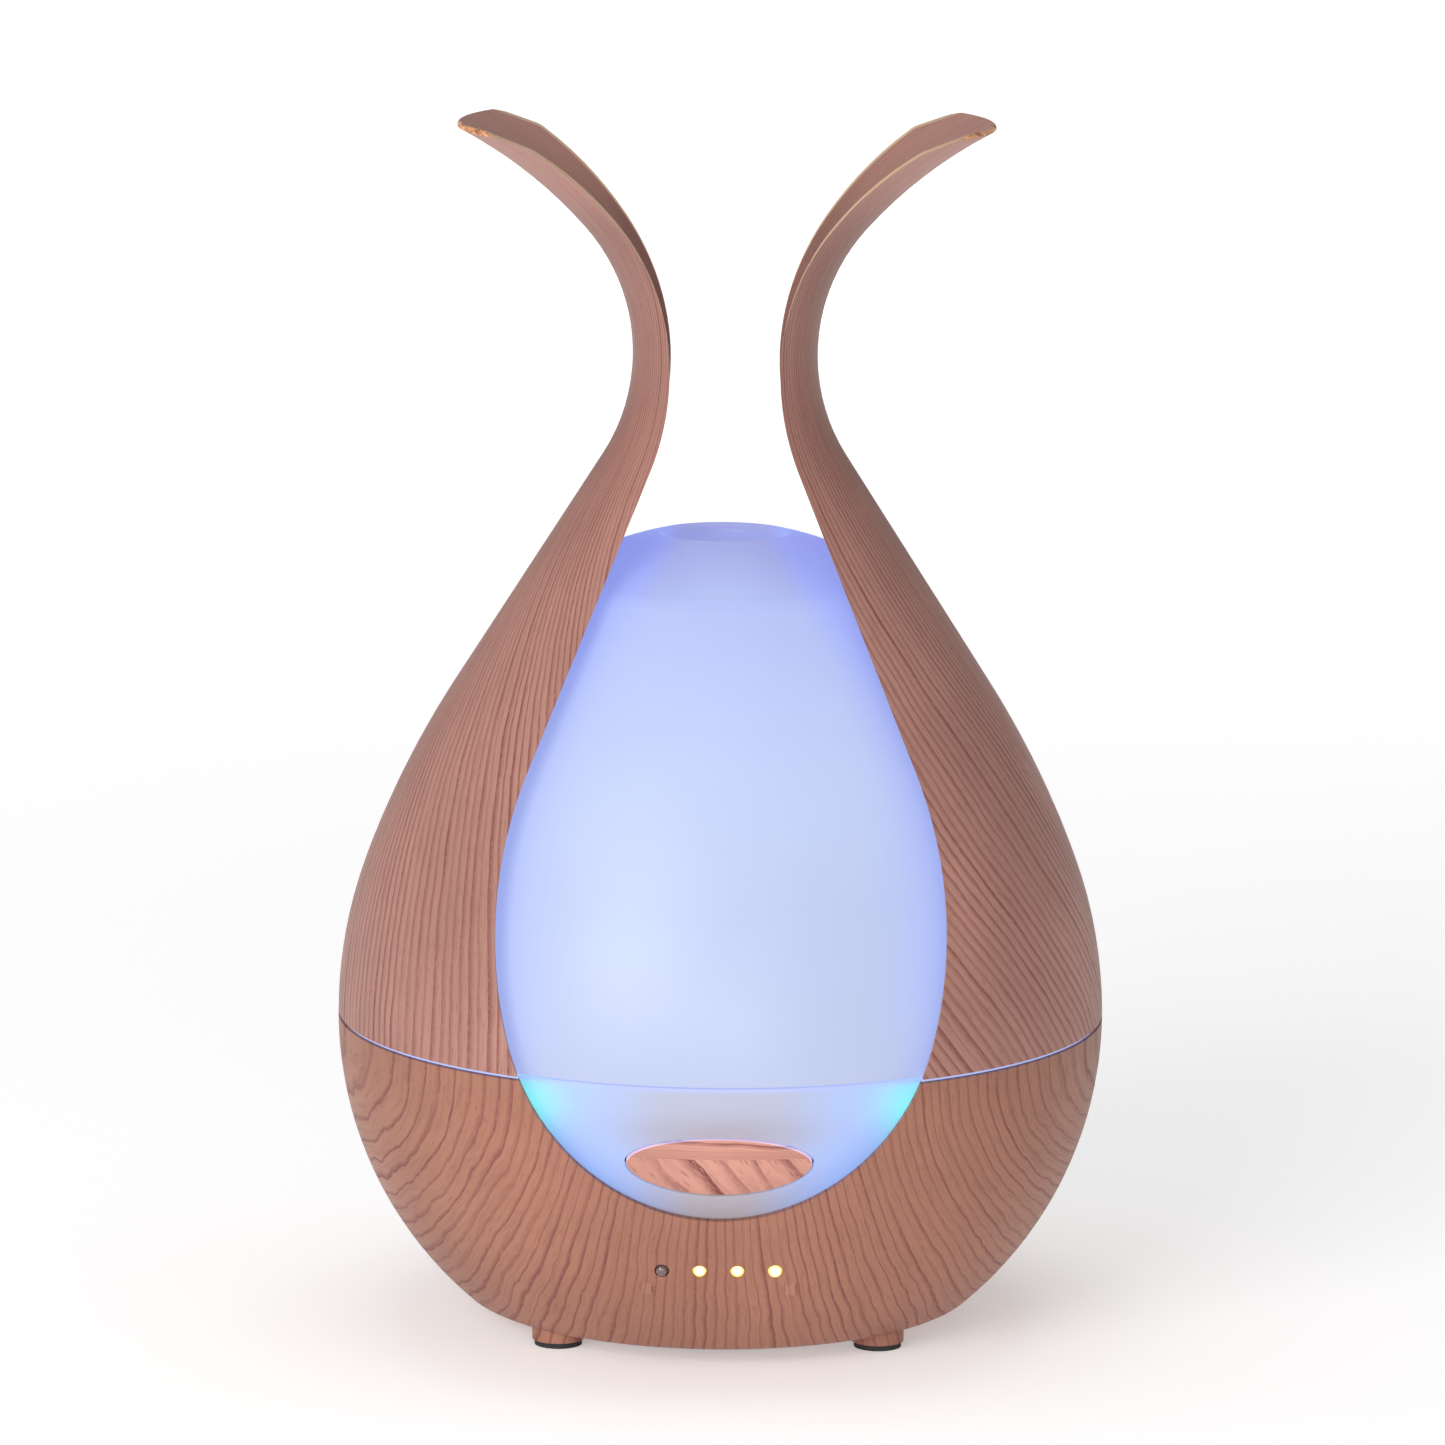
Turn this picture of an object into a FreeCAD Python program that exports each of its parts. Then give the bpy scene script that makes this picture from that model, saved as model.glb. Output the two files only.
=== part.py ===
"""Cool mist humidifier for a table: a vase-shaped wood-grain shell round a white, lit body.

Millimetres. The origin is the middle of the footprint on the table, +Z is up, the control button
faces -Y and +X is to its right.
"""

import FreeCAD, Part
import math
import os

import Sketcher

Vector = FreeCAD.Vector
Rotation = FreeCAD.Rotation

# ------------------------------------------------------------------------------------------------
# Driving dimensions: name, value in millimetres or degrees, meaning
# ------------------------------------------------------------------------------------------------
SIZES = [
    ("belly_radius", 80.0, "widest outside radius, at the seam"),
    ("seam_height", 63.5, "top of the base, where the cover lifts off"),
    ("shell_wall", 2.5, "wood-grain shell, base and petals"),
    ("joint_gap", 0.3, "between faces that part when something is lifted off"),
    # upper outline, from the seam to the rim
    ("swell_radius", 94.9, "outline arc above the seam"),
    ("swell_turn", 20.23, "how far that arc turns"),
    ("shoulder_radius", 192.0, "flatter arc above it"),
    ("shoulder_turn", 12.32, "how far it turns"),
    ("slope_length", 56.72, "straight run up to the neck"),
    ("neck_radius", 39.41, "hollow arc of the neck"),
    ("neck_turn", 73.89, "how far it turns"),
    ("flare_radius", 93.19, "hollow arc of the flared rim"),
    ("flare_turn", 20.79, "how far it turns"),
    ("flare_inner_radius", 79.1, "inner face of the flare, so that the wall thins to the rim"),
    ("flare_inner_turn", 25.06, "how far it turns"),
    ("rim_round", 0.8, "rounded end of the wall at the rim"),
    # lower outline, from the seam to the underside
    ("bowl_radius", 78.4, "outline arc below the seam"),
    ("bowl_turn", 48.27, "how far it turns"),
    ("heel_radius", 5.9, "tight arc at the bottom edge"),
    ("heel_turn", 32.93, "how far it turns"),
    ("heel_run", 12.4, "slightly conical underside, in to the bottom cover"),
    # the leaf-shaped opening, seen from the front, from its lowest point up
    ("leaf_bottom", 36.3, "height of its lowest point"),
    ("leaf_base_radius", 40.8, "flat bottom arc"),
    ("leaf_base_turn", 19.71, "how far it turns"),
    ("leaf_corner_radius", 45.9, "lower corner arc"),
    ("leaf_corner_turn", 54.83, "how far it turns"),
    ("leaf_side_radius", 81.75, "side arc"),
    ("leaf_side_turn", 38.23, "how far it turns"),
    ("leaf_run", 61.64, "straight side"),
    ("leaf_neck_radius", 50.28, "hollow arc at the neck"),
    ("leaf_neck_turn", 58.87, "how far it turns"),
    ("leaf_horn_radius", 71.94, "flatter hollow arc along the horn"),
    ("leaf_horn_turn", 19.51, "how far it turns"),
    ("leaf_tip_radius", 8.0, "rounded corner of the horn"),
    ("leaf_tip_turn", 14.0, "how far it turns"),
    ("leaf_way_out", 22.0, "straight run out over the rim"),
    # white body
    ("white_inset", 4.5, "white surface behind the wood surface"),
    ("white_wall", 2.0, "thickness of the white parts"),
    ("panel_turn", 27.0, "how far the lower panel follows the bowl"),
    ("cover_run", 27.1, "straight run of the cover, up to its rounded edge"),
    ("cover_edge_radius", 7.0, "rounded edge of the cover's top"),
    ("dome_radius", 65.0, "ball that the cover's top is cut from"),
    ("mouth_radius", 12.0, "mist mouth"),
    ("mouth_depth", 7.5, "collar inside the mouth"),
    ("flange_height", 0.5, "flange that carries the petals"),
    ("flange_radius", 79.5, "its outer radius"),
    # button
    ("button_tilt", 12.9, "the bowl's slope at the button"),
    ("button_half_width", 18.65, "half length of the oval"),
    ("button_half_height", 6.1, "half height of the oval"),
    ("button_gap", 0.4, "gap round the oval"),
    ("button_thickness", 2.2, "oval plate"),
    ("pivot_depth", 4.2, "pivot axis behind the button's face"),
    ("pin_radius", 1.0, "button pivot pin"),
    ("pin_clearance", 0.06, "radial clearance of the pin in the bracket"),
    ("switch_offset", 13.0, "tact switches left and right of the pivot"),
    ("switch_travel", 0.65, "plunger's free travel before the switch"),
    # indicator lights
    ("indicator_height", 24.5, "height of the row"),
    ("indicator_pitch", 7.6, "distance between the lights"),
    ("indicator_radius", 1.5, "holes in the base"),
    # tank
    ("tank_radius", 56.0, "inside of the water tank"),
    ("tank_bend", 6.0, "rounding between the tank's wall and floor"),
    ("tank_collar", 2.2, "thickness of the collar round the tank's rim"),
    ("tank_wall", 2.0, "tank wall and floor"),
    ("tank_floor", 28.0, "underside of the tank floor"),
    ("tank_rim", 63.2, "top of the tank's rim"),
    ("lip_radius", 73.0, "outside of the lip that centres the cover"),
    ("lip_height", 3.8, "height of that lip above the rim"),
    ("air_tube_radius", 8.0, "inside of the air tube"),
    ("air_tube_top", 56.0, "top of the air tube"),
    ("fan_y", 18.0, "fan and air tube, behind the middle"),
    ("disc_y", -16.0, "ultrasonic disc, in front of the middle"),
    ("disc_radius", 10.0, "ultrasonic disc"),
    ("disc_opening", 8.5, "hole in the tank floor over the disc"),
    ("clamp_screw_circle", 15.2, "radius on which the clamp's screws stand"),
    # splash cover
    ("splash_radius", 70.6, "plate over the tank"),
    ("chimney_radius", 11.0, "inside of the chimney"),
    ("chimney_top", 148.0, "top of the chimney"),
    # feet, posts and the bottom
    ("foot_spread", 33.0, "feet in X and in Y from the middle"),
    ("foot_boss_radius", 5.4, "wood-grain boss of a foot"),
    ("foot_boss_bottom", 1.2, "underside of the boss"),
    ("rubber_radius", 4.9, "rubber pad"),
    ("post_radius", 4.2, "posts inside the base"),
    ("post_top", 20.0, "top of the posts"),
    ("cover_plate_radius", 37.6, "bottom cover"),
    ("cover_plate_low", 1.9, "its underside"),
    ("cover_plate_thickness", 2.0, "its thickness"),
    ("cover_screw_circle", 34.5, "radius on which its screws stand"),
    # driver board
    ("driver_y", -21.0, "middle of the driver board"),
    ("driver_low", 9.0, "its underside"),
    ("driver_post", 20.0, "its posts, left and right of the middle"),
    # fan
    ("fan_size", 40.0, "square fan housing"),
    ("fan_height", 10.0, "its height"),
    ("fan_low", 6.0, "its underside"),
    ("fan_bore", 18.5, "bore of the housing"),
    ("fan_tip", 17.8, "tip radius of the blades"),
    ("fan_screw", 16.0, "its screws, in X and in Y from its axis"),
    ("shaft_radius", 1.0, "fan shaft"),
    ("shaft_clearance", 0.05, "radial clearance of the shaft"),
    # power inlet
    ("jack_height", 23.0, "axis of the DC jack"),
    ("jack_pin_radius", 1.0, "centre pin of the jack"),
    ("board_thickness", 1.6, "circuit boards"),
    ("light_azimuth", 36.0, "inner lights, to each side of front and back"),
]

FOOT_SIGNS = [(1, 1), (-1, 1), (-1, -1), (1, -1)]
BOTTOM_SCREW_ANGLES = [20.0, 160.0, 250.0, 290.0]
BLADES = 7
# each of the petals' screws: where it starts and ends from the axis, and its height
PETAL_SCREWS = [(70.6, 77.9, 80.0), (38.2, 45.9, 146.0)]


# ------------------------------------------------------------------------------------------------
# Sizes that remember the expression they come from
# ------------------------------------------------------------------------------------------------
class Size:
    """A number together with the spreadsheet expression that gives it."""

    def __init__(self, value, text):
        self.value = float(value)
        self.text = text

    def __add__(self, other):
        other = size(other)
        return Size(self.value + other.value, f"({self.text} + {other.text})")

    def __sub__(self, other):
        other = size(other)
        return Size(self.value - other.value, f"({self.text} - {other.text})")

    def __mul__(self, other):
        other = size(other)
        return Size(self.value * other.value, f"({self.text} * {other.text})")

    def __truediv__(self, other):
        other = size(other)
        return Size(self.value / other.value, f"({self.text} / {other.text})")

    def __rsub__(self, other):
        return size(other) - self

    def __neg__(self):
        return size(0) - self

    __radd__ = __add__
    __rmul__ = __mul__


def size(number):
    if isinstance(number, Size):
        return number
    text = f"{number:.6f}"
    return Size(number, f"({text})" if number < 0 else text)


def sine(angle):
    return Size(math.sin(math.radians(angle.value)), f"sin({angle.text})")


def cosine(angle):
    return Size(math.cos(math.radians(angle.value)), f"cos({angle.text})")


def root(number):
    return Size(math.sqrt(number.value), f"sqrt({number.text})")


class Sizes:
    """The spreadsheet's cells as attributes: d.belly_radius is a Size."""

    def __init__(self, sheet):
        for row, (alias, value, meaning) in enumerate(SIZES, start=1):
            sheet.set(f"A{row}", alias)
            sheet.set(f"B{row}", str(value))
            sheet.set(f"C{row}", meaning)
            sheet.setAlias(f"B{row}", alias)
            setattr(self, alias, Size(value, f"Sizes.{alias}"))


doc = FreeCAD.newDocument("cool_mist_humidifier")
d = Sizes(doc.addObject("Spreadsheet::Sheet", "Sizes"))
doc.recompute()

nodes = {}


def node(name, thing):
    """Names a finished sub-part."""
    thing.Label = name
    nodes[name] = thing
    return thing


# ------------------------------------------------------------------------------------------------
# Outlines: lists of corners [x, y, radius of the arc to the next corner or None for a line].
# A positive radius turns left on the way to the next corner, a negative one turns right.
# ------------------------------------------------------------------------------------------------
class Path:
    """Tangent arcs and lines that start upright; way is 1 going up and -1 going down."""

    def __init__(self, x, z, way=1, lean=0.0):
        self.x, self.z = size(x), size(z)
        self.way = way
        self.lean = size(lean)
        self.corners = [[self.x, self.z, None]]

    def reach(self, x, z, bulge=None):
        self.corners[-1][2] = bulge
        self.x, self.z = x, z
        self.corners.append([x, z, None])
        return self

    def inward(self, radius, turn):
        """An arc that leans further towards the axis."""
        after = self.lean + turn
        x = self.x + radius * (cosine(after) - cosine(self.lean))
        z = self.z + radius * (sine(after) - sine(self.lean)) * self.way
        self.lean = after
        return self.reach(x, z, radius * self.way)

    def outward(self, radius, turn):
        """An arc that leans away from the axis."""
        after = self.lean - turn
        x = self.x + radius * (cosine(self.lean) - cosine(after))
        z = self.z + radius * (sine(self.lean) - sine(after)) * self.way
        self.lean = after
        return self.reach(x, z, -radius * self.way)

    def run(self, length):
        x = self.x - length * sine(self.lean)
        z = self.z + length * cosine(self.lean) * self.way
        return self.reach(x, z)


def backwards(corners, turning=-1):
    """The same corners in the other direction, with each arc's radius times this sign."""
    reversed_corners = []
    for here in range(len(corners) - 1, -1, -1):
        x, y, _ = corners[here]
        bulge = corners[here - 1][2] if here else None
        reversed_corners.append([x, y, None if bulge is None else bulge * turning])
    return reversed_corners


def mirrored(corners):
    """The same corners on the other side of the vertical axis, in the other direction.

    Mirroring and reversing both turn an arc round, so that its sign stays.
    """
    return [[-x, y, bulge] for x, y, bulge in backwards(corners, 1)]


def edge(start, end, bulge):
    """The line or arc between two corners, and which of its ends comes first."""
    a = Vector(start[0].value, start[1].value, 0)
    b = Vector(end[0].value, end[1].value, 0)
    if bulge is None:
        return Part.LineSegment(a, b), 1, 2
    radius = abs(bulge.value)
    chord = b - a
    left = Vector(-chord.y, chord.x, 0).normalize()
    rise = math.sqrt(radius**2 - (chord.Length / 2) ** 2)
    centre = (a + b) * 0.5 + left * (rise if bulge.value > 0 else -rise)
    begin = math.atan2(a.y - centre.y, a.x - centre.x)
    finish = math.atan2(b.y - centre.y, b.x - centre.x)
    circle = Part.Circle(centre, Vector(0, 0, 1), radius)
    if bulge.value > 0:
        return Part.ArcOfCircle(circle, begin, finish), 1, 2
    return Part.ArcOfCircle(circle, finish, begin), 2, 1


def draw(sketch, corners):
    """Draws a closed outline and ties every corner and radius to its size."""
    corners = [[size(x), size(y), bulge] for x, y, bulge in corners]
    ends = []
    for here, corner in enumerate(corners):
        after = corners[(here + 1) % len(corners)]
        curve, first, last = edge(corner, after, corner[2])
        ends.append((sketch.addGeometry(curve), first, last))
    for here, (curve, first, last) in enumerate(ends):
        x, y, bulge = corners[here]
        after, after_first, _ = ends[(here + 1) % len(ends)]
        sketch.addConstraint(Sketcher.Constraint("Coincident", curve, last, after, after_first))
        for kind, value, axis in (("DistanceX", x, -2), ("DistanceY", y, -1)):
            if value.text == size(0).text:
                sketch.addConstraint(Sketcher.Constraint("PointOnObject", curve, first, axis))
                continue
            index = sketch.addConstraint(Sketcher.Constraint(kind, curve, first, value.value))
            sketch.setExpression(f"Constraints[{index}]", value.text)
        if bulge is not None:
            radius = bulge if bulge.value > 0 else -bulge
            index = sketch.addConstraint(Sketcher.Constraint("Radius", curve, radius.value))
            sketch.setExpression(f"Constraints[{index}]", radius.text)


def sketched(name, plane, corners):
    """A PartDesign body with one sketch on one of its origin planes."""
    body = doc.addObject("PartDesign::Body", name)
    sketch = body.newObject("Sketcher::SketchObject", f"{name}_outline")
    origin = next(item for item in body.Origin.OriginFeatures if item.Role == plane)
    sketch.AttachmentSupport = [(origin, "")]
    sketch.MapMode = "FlatFace"
    draw(sketch, corners)
    return body, sketch


def turned(name, corners):
    """A solid turned about the vertical axis."""
    body, sketch = sketched(name, "XZ_Plane", corners)
    turning = body.newObject("PartDesign::Revolution", f"{name}_turning")
    turning.Profile = sketch
    turning.ReferenceAxis = (sketch, ["V_Axis"])
    turning.Angle = 360
    return body


def polygon(*points):
    return [[x, y, None] for x, y in points]


# ------------------------------------------------------------------------------------------------
# Primitives and booleans
# ------------------------------------------------------------------------------------------------
POINTING = {
    "X": Rotation(Vector(0, 1, 0), 90),
    "Y": Rotation(Vector(1, 0, 0), -90),
    "Z": Rotation(),
}


def bind(thing, **values):
    for name, value in values.items():
        thing.setExpression(name, size(value).text)


def put(thing, at, rotation=Rotation()):
    thing.Placement = FreeCAD.Placement(Vector(), rotation)
    for letter, value in zip("xyz", at):
        thing.setExpression(f"Placement.Base.{letter}", size(value).text)
    return thing


def cylinder(name, radius, length, at=(0, 0, 0), axis="Z"):
    thing = doc.addObject("Part::Cylinder", name)
    bind(thing, Radius=radius, Height=length)
    return put(thing, at, POINTING[axis])


def cone(name, low_radius, high_radius, length, at=(0, 0, 0), axis="Z"):
    thing = doc.addObject("Part::Cone", name)
    bind(thing, Radius1=low_radius, Radius2=high_radius, Height=length)
    return put(thing, at, POINTING[axis])


def ball(name, radius, at):
    thing = doc.addObject("Part::Sphere", name)
    bind(thing, Radius=radius)
    return put(thing, at)


def ring(name, big_radius, small_radius, at):
    thing = doc.addObject("Part::Torus", name)
    bind(thing, Radius1=big_radius, Radius2=small_radius)
    return put(thing, at)


def block(name, width, depth, height, at):
    """A box whose bottom face is centred on the given point."""
    thing = doc.addObject("Part::Box", name)
    bind(thing, Length=width, Width=depth, Height=height)
    x, y, z = (size(value) for value in at)
    return put(thing, (x - size(width) / 2, y - size(depth) / 2, z))


def fuse(name, *things):
    thing = doc.addObject("Part::MultiFuse", name)
    thing.Shapes = list(things)
    return thing


def cut(name, base, *tools):
    thing = doc.addObject("Part::Cut", name)
    thing.Base = base
    thing.Tool = tools[0] if len(tools) == 1 else fuse(f"{name}_tools", *tools)
    return thing


def common(name, *things):
    thing = doc.addObject("Part::MultiCommon", name)
    thing.Shapes = list(things)
    return thing


def carried(name, thing):
    """The same piece with a second placement on top of its own."""
    carrier = doc.addObject("Part::Compound", name)
    carrier.Links = [thing]
    return carrier


def tube(name, outer, inner, length, at=(0, 0, 0), axis="Z"):
    """A round tube; the bore runs the whole length."""
    return cut(
        name,
        cylinder(f"{name}_outside", outer, length, at, axis),
        cylinder(f"{name}_bore", inner, length, at, axis),
    )


def copies(name, make, places):
    """One fused group of a repeated piece, made by make(name, place)."""
    return fuse(name, *[make(f"{name}_{count}", place) for count, place in enumerate(places, 1)])


# ------------------------------------------------------------------------------------------------
# The common outlines
# ------------------------------------------------------------------------------------------------
def shoulder_path(inset, foot, run):
    """The vase's outline above the seam, up to this far along its straight slope."""
    path = Path(d.belly_radius - inset, foot)
    path.inward(d.swell_radius - inset, d.swell_turn)
    path.inward(d.shoulder_radius - inset, d.shoulder_turn)
    path.run(run)
    return path


def upper_path(inset, flare_radius, flare_turn):
    """The vase's outline from the seam to the rim, this far inside the wood surface."""
    path = shoulder_path(inset, d.seam_height, d.slope_length)
    path.outward(d.neck_radius + inset, d.neck_turn)
    path.outward(flare_radius, flare_turn)
    return path.corners


def lower_path(inset):
    """The vase's outline below the seam."""
    path = Path(d.belly_radius - inset, d.seam_height, way=-1)
    path.inward(d.bowl_radius - inset, d.bowl_turn)
    path.inward(d.heel_radius - inset, d.heel_turn)
    path.run(d.heel_run)
    return path.corners


def bowl_band(inset):
    """The bowl's arc from the seam down to the lower edge of the white panel."""
    path = Path(d.belly_radius - inset, d.seam_height, way=-1)
    path.inward(d.bowl_radius - inset, d.panel_turn)
    return path.corners


def cover_path(inset):
    """The white cover's outline, from its foot over its rounded edge and dome to the mouth."""
    path = shoulder_path(inset, d.seam_height + d.joint_gap, d.cover_run)
    lean = path.lean
    thinner = inset - d.white_inset
    edge_radius = d.cover_edge_radius - thinner
    dome = d.dome_radius - thinner
    centre_x = path.x - edge_radius * cosine(lean)
    centre_z = path.z - edge_radius * sine(lean)
    # the dome's ball is centred on the axis and touches the edge's arc from inside
    across = centre_x / (dome - edge_radius)
    upright = root(1 - across * across)
    dome_z = centre_z - (dome - edge_radius) * upright
    path.reach(dome * across, dome_z + dome * upright, edge_radius)
    at_mouth = d.mouth_radius + d.white_wall
    path.reach(at_mouth, dome_z + root(dome * dome - at_mouth * at_mouth), dome)
    return path.corners


def shell_between(name, outer, inner):
    """A turned shell between two outlines that run the same way."""
    return turned(name, outer + backwards(inner))


def bowl_radius_at(inset, height):
    """Radius of the bowl below the seam, this far inside the wood surface."""
    drop = d.seam_height - height
    reach = d.bowl_radius - inset
    return d.belly_radius - d.bowl_radius + root(reach * reach - drop * drop)


def leaf_prism():
    """Cuts the leaf-shaped opening through the front and the back of the shell."""
    path = Path(0, d.leaf_bottom, way=1, lean=-90)
    path.inward(d.leaf_base_radius, d.leaf_base_turn)
    path.inward(d.leaf_corner_radius, d.leaf_corner_turn)
    path.inward(d.leaf_side_radius, d.leaf_side_turn)
    path.run(d.leaf_run)
    path.outward(d.leaf_neck_radius, d.leaf_neck_turn)
    path.outward(d.leaf_horn_radius, d.leaf_horn_turn)
    path.outward(d.leaf_tip_radius, d.leaf_tip_turn)
    path.run(d.leaf_way_out)
    above = d.seam_height + 210
    top = polygon((path.x, above), (-path.x, above))
    outline = path.corners + top + mirrored(path.corners)[:-1]
    body, sketch = sketched("leaf_opening", "XZ_Plane", outline)
    pad = body.newObject("PartDesign::Pad", "leaf_through")
    pad.Profile = sketch
    pad.SideType = "Symmetric"
    pad.setExpression("Length", (d.belly_radius * 2.5).text)
    return body


leaf = leaf_prism()


# ------------------------------------------------------------------------------------------------
# Frames for the pieces that lean with the bowl or stand round the tank
# ------------------------------------------------------------------------------------------------
def lean_with_bowl(thing):
    """Moves a piece drawn about the origin to the button's place; -Y is out of the face."""
    thing.Placement = FreeCAD.Placement(Vector(), Rotation(Vector(1, 0, 0), 1))
    reach = d.bowl_radius - d.white_inset
    out = d.belly_radius - d.bowl_radius + reach * cosine(d.button_tilt)
    thing.setExpression("Placement.Base.y", (-out).text)
    thing.setExpression("Placement.Base.z", (d.seam_height - reach * sine(d.button_tilt)).text)
    thing.setExpression("Placement.Rotation.Angle", d.button_tilt.text)
    return thing


def swing(thing, angle):
    """Turns a piece drawn facing -Y about the vertical axis."""
    thing.Placement = FreeCAD.Placement(Vector(), Rotation(Vector(0, 0, 1), 1))
    thing.setExpression("Placement.Rotation.Angle", size(angle).text)
    return thing


# ------------------------------------------------------------------------------------------------
# Base shell
# ------------------------------------------------------------------------------------------------
def foot_places(height):
    return [(d.foot_spread * sx, d.foot_spread * sy, height) for sx, sy in FOOT_SIGNS]


def indicator_places():
    return [d.indicator_pitch * step for step in (-1.5, -0.5, 0.5, 1.5)]


def bottom_screw_places(height):
    places = []
    for angle in BOTTOM_SCREW_ANGLES:
        turn = size(angle)
        x = d.cover_screw_circle * cosine(turn)
        places.append((x, d.cover_screw_circle * sine(turn), height))
    return places


def base_shell():
    bowl = shell_between("bowl", lower_path(size(0)), lower_path(d.shell_wall))
    low = d.foot_boss_bottom
    bosses = copies(
        "foot_bosses",
        lambda name, at: cylinder(name, d.foot_boss_radius, 5.0 - low, at),
        foot_places(low),
    )
    posts = copies(
        "tank_posts",
        lambda name, at: cylinder(name, d.post_radius, d.post_top - 3.2, at),
        foot_places(3.2),
    )
    ledge = tube("panel_ledge", 70.2, 64.0, 2.4, (0, 0, 27.0))
    tabs = copies(
        "screw_tabs",
        lambda name, at: cylinder(name, 5.0, 4.0, at),
        [(x * 1.09, y * 1.09, z) for x, y, z in bottom_screw_places(4.0)],
    )
    ribs = copies(
        "indicator_ribs",
        lambda name, x: block(name, 2.0, 6.0, 4.0, (x, -63.1, 19.0)),
        [-14.5, 14.5],
    )
    jack_post = cylinder("jack_post", 3.0, 12.4, (0, 50.0, 4.5))
    solid = fuse("base_solid", bowl, bosses, posts, ledge, tabs, ribs, jack_post)
    shank_holes = copies(
        "shank_holes",
        lambda name, at: cylinder(name, 1.6, 25.0, at),
        foot_places(0),
    )
    head_holes = copies(
        "head_holes",
        lambda name, at: cylinder(name, 3.2, 5.0, at),
        foot_places(0),
    )
    tab_holes = copies(
        "tab_holes",
        lambda name, at: cylinder(name, 1.2, 8.0, at),
        bottom_screw_places(2.0),
    )
    light_holes = copies(
        "light_holes",
        lambda name, x: cylinder(
            name, d.indicator_radius, 20.0, (x, -80.0, d.indicator_height), "Y"
        ),
        indicator_places(),
    )
    jack_hole = cylinder("jack_hole", 5.8, 25.0, (0, 60.0, d.jack_height), "Y")
    node(
        "base_shell",
        cut("base_shell", solid, leaf, shank_holes, head_holes, tab_holes, light_holes, jack_hole),
    )


# ------------------------------------------------------------------------------------------------
# White panel behind the opening, with the button's oval hole
# ------------------------------------------------------------------------------------------------
def oval(name, grow, depth):
    """An oval prism about the origin, from 3 mm in front of the face to this depth behind it."""
    line = doc.addObject("Part::Ellipse", f"{name}_line")
    bind(line, MajorRadius=d.button_half_width + grow, MinorRadius=d.button_half_height + grow)
    line.Placement = FreeCAD.Placement(Vector(0, -3, 0), Rotation(Vector(1, 0, 0), 90))
    prism = doc.addObject("Part::Extrusion", name)
    prism.Base = line
    prism.DirMode = "Custom"
    prism.Dir = Vector(0, 1, 0)
    prism.Solid = True
    prism.setExpression("LengthFwd", (size(depth) + 3).text)
    return lean_with_bowl(prism)


def lower_diffuser():
    inner = d.white_inset + d.white_wall
    band = shell_between("panel_band", bowl_band(d.white_inset), bowl_band(inner))
    node("lower_diffuser", cut("lower_diffuser", band, oval("button_hole", d.button_gap, 12)))
    low_x, low_z, _ = bowl_band(d.white_inset)[-1]
    node("diffuser_seal", tube("diffuser_seal", low_x, low_x - 2.4, low_z - 29.4, (0, 0, 29.4)))


# ------------------------------------------------------------------------------------------------
# Button, its pin, bracket, board and switches
# ------------------------------------------------------------------------------------------------
def control_button():
    back = d.white_inset + d.button_thickness
    skin = shell_between("button_skin", bowl_band(d.white_inset), bowl_band(back))
    plate = common("button_plate", skin, oval("button_oval", 0, 12))
    rib = fuse(
        "button_rib",
        cylinder("rib_eye", 2.0, 8.0, (0, d.pivot_depth, -4.0)),
        block("rib_web", 4.0, d.pivot_depth - 1.2, 8.0, (0, d.pivot_depth / 2 + 0.6, -4.0)),
    )
    plunger_end = 6.7 - d.switch_travel
    plungers = copies(
        "plungers",
        lambda name, side: cylinder(
            name, 1.6, plunger_end - 2.4, (d.switch_offset * side, 2.4, 0), "Y"
        ),
        [-1, 1],
    )
    works = fuse("button_works", rib, plungers)
    eye = cylinder("button_eye", d.pin_radius, 20.0, (0, d.pivot_depth, -10.0))
    shaped = cut("button_inside", works, eye)
    lean_with_bowl(shaped)
    node("control_button", fuse("control_button", plate, shaped))
    pin = cylinder("button_pin_rod", d.pin_radius, 13.0, (0, d.pivot_depth, -6.5))
    core = ball("pin_core", 0.5, (0, d.pivot_depth, 0))
    node("button_pin", lean_with_bowl(fuse("button_pin", pin, core)))


def button_bracket():
    rails = copies(
        "bracket_rails",
        lambda name, z: block(name, 49.0, 1.6, 2.0, (0, 10.2, z)),
        [-6.5, 4.5],
    )
    ears = copies(
        "bracket_ears",
        lambda name, z: block(name, 3.2, 8.3, 2.0, (0, 6.85, z)),
        [-6.5, 4.5],
    )
    feet = copies(
        "bracket_feet",
        lambda name, x: block(name, 3.0, 4.2, 13.0, (x, 8.9, -6.5)),
        [-23.0, 23.0],
    )
    solid = fuse("bracket_solid", rails, ears, feet)
    hole = cylinder("bracket_hole", d.pin_radius + d.pin_clearance, 20.0, (0, d.pivot_depth, -10.0))
    node("button_bracket", lean_with_bowl(cut("button_bracket", solid, hole)))


def button_board():
    board = block("button_board_plate", 49.0, d.board_thickness, 13.0, (0, 11.8, -6.5))
    chip = block("button_board_chip", 6.0, 1.2, 4.0, (0, 13.2, -2.0))
    node("button_board", lean_with_bowl(fuse("button_board", board, chip)))
    for name, side in (("switch_left", -1), ("switch_right", 1)):
        place = d.switch_offset * side
        body = block(f"{name}_body", 6.0, 3.5, 6.0, (place, 9.25, -3.0))
        stem = cylinder(f"{name}_stem", 1.75, 0.9, (place, 6.7, 0), "Y")
        node(name, lean_with_bowl(fuse(name, body, stem)))


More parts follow.
